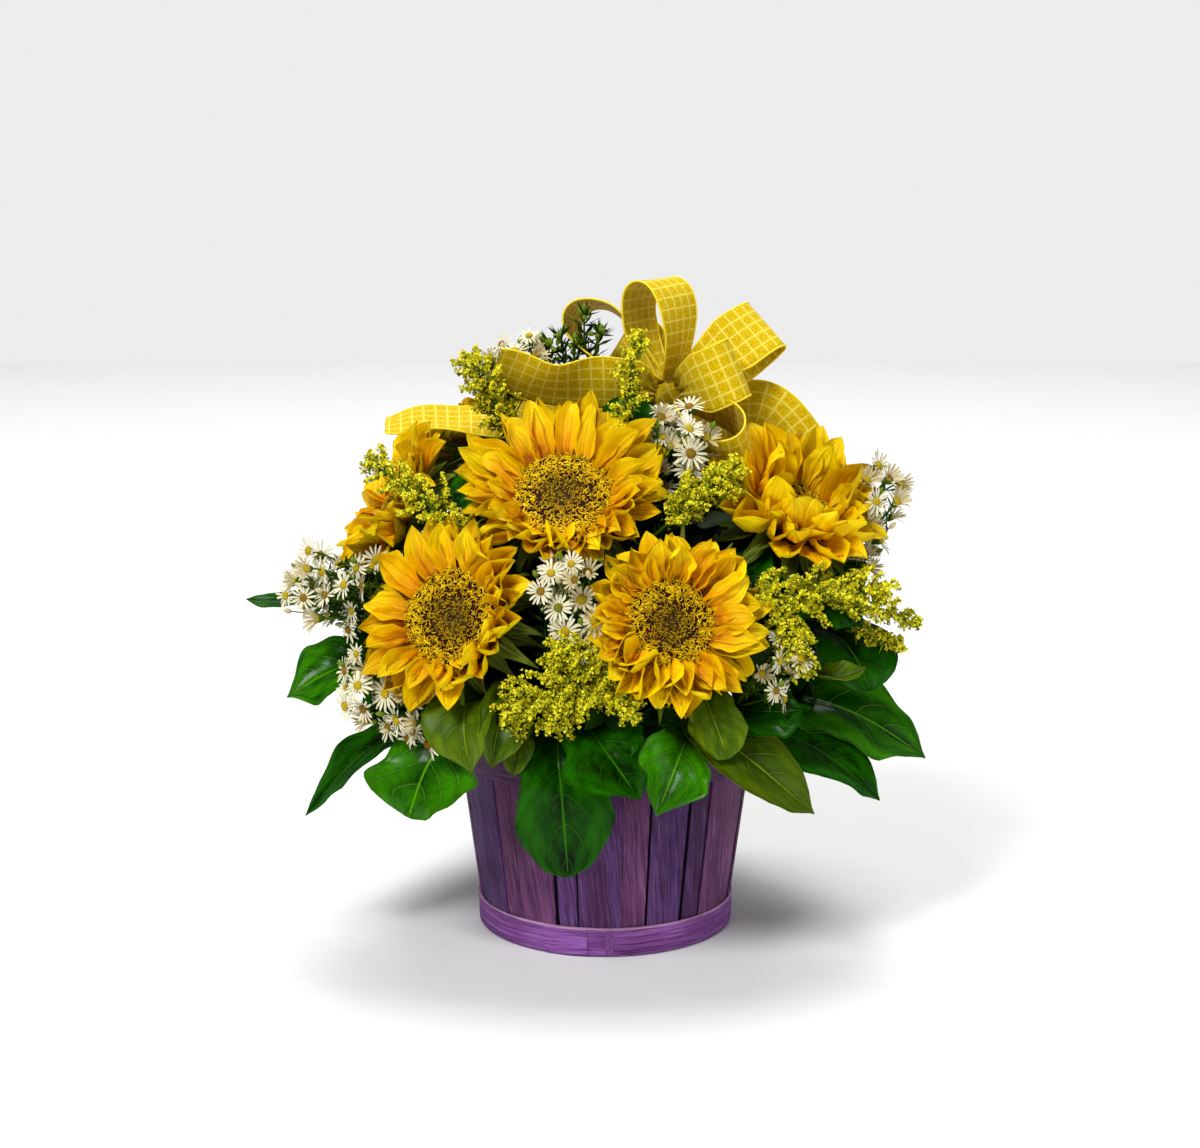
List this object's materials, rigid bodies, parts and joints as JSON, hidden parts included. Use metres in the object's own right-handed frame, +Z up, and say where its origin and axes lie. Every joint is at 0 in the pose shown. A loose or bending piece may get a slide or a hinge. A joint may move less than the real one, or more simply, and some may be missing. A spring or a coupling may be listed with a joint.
{
  "type": "sunflower arrangement in a basket",
  "caption": "Round purple splint basket holding a full dome of cut sunflowers, white asters, goldenrod and broad leaves, with a yellow checked ribbon bow on top.",
  "frame": {"origin": "middle of the basket's flat underside, at the table", "axes": "+Z up, +X to the right seen from the front, and the front faces -Y"},
  "size_m": [0.4533, 0.3515, 0.4423],
  "materials": {
    "basket_wood": "thin wood staves stained dusty purple, matt, with the grain showing",
    "basket_band": "thin wood hoops stained violet, matt, worn paler at the edges",
    "foam": "wet dark green floral foam, hidden under the leaves",
    "stem": "fresh green stems and sepals, ribbed and slightly rough",
    "petal": "golden yellow petals, satin, round a disc of yellow florets over maroon brown",
    "leaf": "glossy deep green leaves with pale veins and olive undersides",
    "aster": "small cream white daisies with gold centres on green twigs",
    "goldenrod": "tiny yellow florets on green twigs, matt",
    "foliage": "dark green leaves and side shoots inside the crown",
    "ribbon": "golden yellow woven ribbon with a cream window-pane check and wired edges"
  },
  "bodies": {
    "root": {"aster_back": "aster", "aster_centre": "aster", "aster_left": "aster", "aster_low_left": "aster", "aster_low_right": "aster", "aster_right": "aster", "aster_top": "aster", "aster_top_left": "aster", "basket_floor": "basket_wood", "basket_foot_band": "basket_band", "basket_rim_hoop": "basket_band", "basket_staves": "basket_wood", "bow_knot": "ribbon", "bow_loop_front": "ribbon", "bow_loop_left": "ribbon", "bow_loop_low_right": "ribbon", "bow_loop_top": "ribbon", "bow_loop_upper_right": "ribbon", "bow_tail_far_left": "ribbon", "bow_tail_left": "ribbon", "bow_tail_right": "ribbon", "floral_foam": "foam", "goldenrod_back": "goldenrod", "goldenrod_left": "goldenrod", "goldenrod_low": "goldenrod", "goldenrod_middle": "goldenrod", "goldenrod_right": "goldenrod", "goldenrod_top": "goldenrod", "goldenrod_top_left": "goldenrod", "inner_foliage": "foliage", "leaf_far_left": "leaf", "leaf_front": "leaf", "leaf_front_right": "leaf", "leaf_front_tip": "leaf", "leaf_left": "leaf", "leaf_long_left": "leaf", "leaf_long_right": "leaf", "leaf_low_left": "leaf", "leaf_low_right": "leaf", "leaf_pale_front_left": "leaf", "leaf_right": "leaf", "leaf_skirt_back_left": "leaf", "leaf_skirt_back_right": "leaf", "leaf_upper_right": "leaf", "sunflower_head_back": "petal", "sunflower_head_back_left": "petal", "sunflower_head_back_right": "petal", "sunflower_head_centre": "petal", "sunflower_head_far_left": "petal", "sunflower_head_left": "petal", "sunflower_head_right": "petal", "sunflower_head_top": "petal", "sunflower_stem_back": "stem", "sunflower_stem_back_left": "stem", "sunflower_stem_back_right": "stem", "sunflower_stem_centre": "stem", "sunflower_stem_far_left": "stem", "sunflower_stem_left": "stem", "sunflower_stem_right": "stem", "sunflower_stem_top": "stem"}
  },
  "joints": []
}
